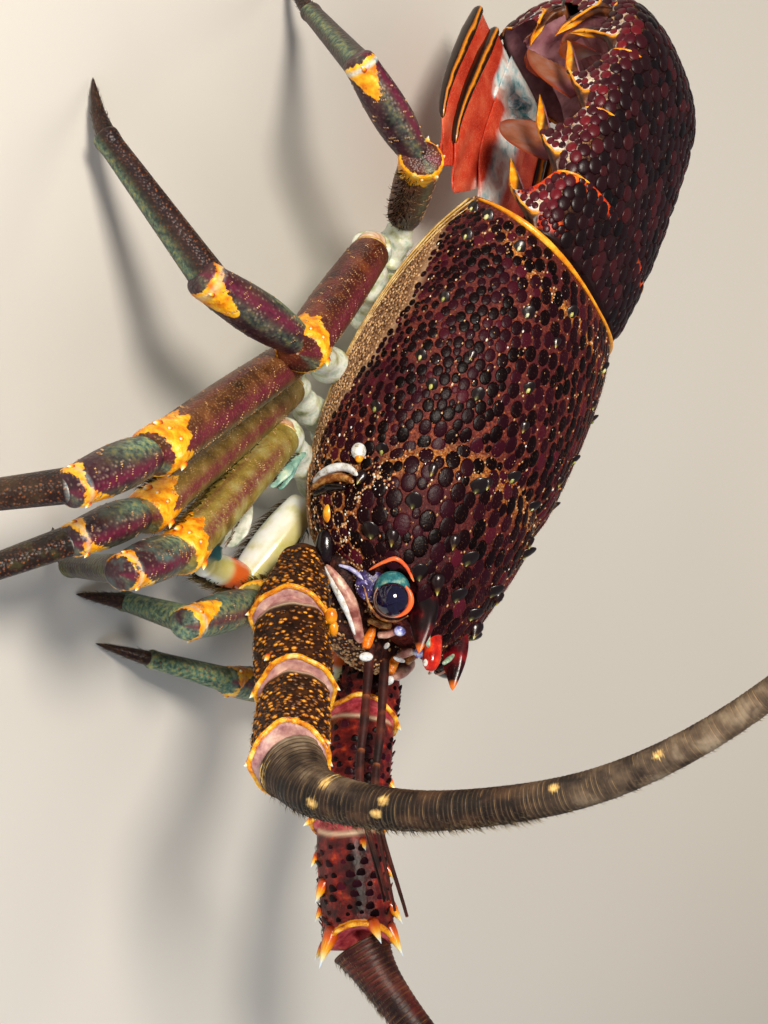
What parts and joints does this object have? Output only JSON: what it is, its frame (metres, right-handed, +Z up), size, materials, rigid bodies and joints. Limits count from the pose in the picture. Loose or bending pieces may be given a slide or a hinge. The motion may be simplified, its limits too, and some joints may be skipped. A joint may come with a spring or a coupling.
{
  "type": "spiny lobster",
  "caption": "Life-size spiny lobster, crouching on its walking legs with long antennae raised and tail curled under, as a still model.",
  "frame": {"origin": "middle of the bounding box at floor level, under the animal", "axes": "+Z up from the floor, -Y towards the head, +X towards the animal's own left side"},
  "size_m": [0.216, 0.2572, 0.1837],
  "materials": {
    "carapace_shell": "hard chitin, dark purple-brown with felt between glossy knobs",
    "eye": "wet, near-black indigo, mirror-smooth",
    "eyestalk": "smooth teal and purple shell",
    "horn": "polished maroon spine, orange at the tip",
    "underside": "pale, thin shell, semi-gloss",
    "jaw": "horny jaw, semi-gloss",
    "antenna_stalk": "dark brown shell with golden scales",
    "antenna_whip": "ringed, bristly, dark brown",
    "antennule": "fine ringed rod",
    "maxilliped": "cream shell, semi-gloss",
    "tail_shell": "maroon shell with flat rounded scales, glossy",
    "fan": "horny fan, orange-red, finely dotted, pliable at its end",
    "leg_shell": "brown shell with purple stripe, orange at the joints",
    "pleopod": "thin brown flap, translucent"
  },
  "bodies": {
    "root": {"carapace": "carapace_shell", "eye_right": "eye", "eyestalk_right": "eyestalk", "horn_right": "horn", "eye_left": "eye", "eyestalk_left": "eyestalk", "horn_left": "horn", "rostrum": "horn", "epistome": "underside", "mouthparts": "jaw", "breastplate": "underside", "antenna_right_stalk_1": "antenna_stalk", "antenna_right_stalk_2": "antenna_stalk", "antenna_right_stalk_3": "antenna_stalk", "antenna_right_whip_1": "antenna_whip", "antenna_right_whip_2": "antenna_whip", "antenna_right_whip_3": "antenna_whip", "antennule_right": "antennule", "maxilliped_right": "maxilliped", "antenna_left_stalk_1": "antenna_stalk", "antenna_left_stalk_2": "antenna_stalk", "antenna_left_stalk_3": "antenna_stalk", "antenna_left_whip_1": "antenna_whip", "antenna_left_whip_2": "antenna_whip", "antenna_left_whip_3": "antenna_whip", "antennule_left": "antennule", "maxilliped_left": "maxilliped", "tail_ring_1": "tail_shell", "tail_ring_2": "tail_shell", "tail_ring_3": "tail_shell", "tail_ring_4": "tail_shell", "tail_ring_5": "tail_shell", "tail_ring_6": "tail_shell", "telson": "fan", "uropod_inner_right": "fan", "uropod_outer_right": "fan", "leg_right_1": "leg_shell", "leg_right_2": "leg_shell", "leg_right_3": "leg_shell", "leg_right_4": "leg_shell", "leg_right_5": "leg_shell", "pleopod_right_2": "pleopod", "pleopod_right_3": "pleopod", "pleopod_right_4": "pleopod", "pleopod_right_5": "pleopod", "uropod_inner_left": "fan", "uropod_outer_left": "fan", "leg_left_1": "leg_shell", "leg_left_2": "leg_shell", "leg_left_3": "leg_shell", "leg_left_4": "leg_shell", "leg_left_5": "leg_shell", "pleopod_left_2": "pleopod", "pleopod_left_3": "pleopod", "pleopod_left_4": "pleopod", "pleopod_left_5": "pleopod"}
  },
  "joints": []
}
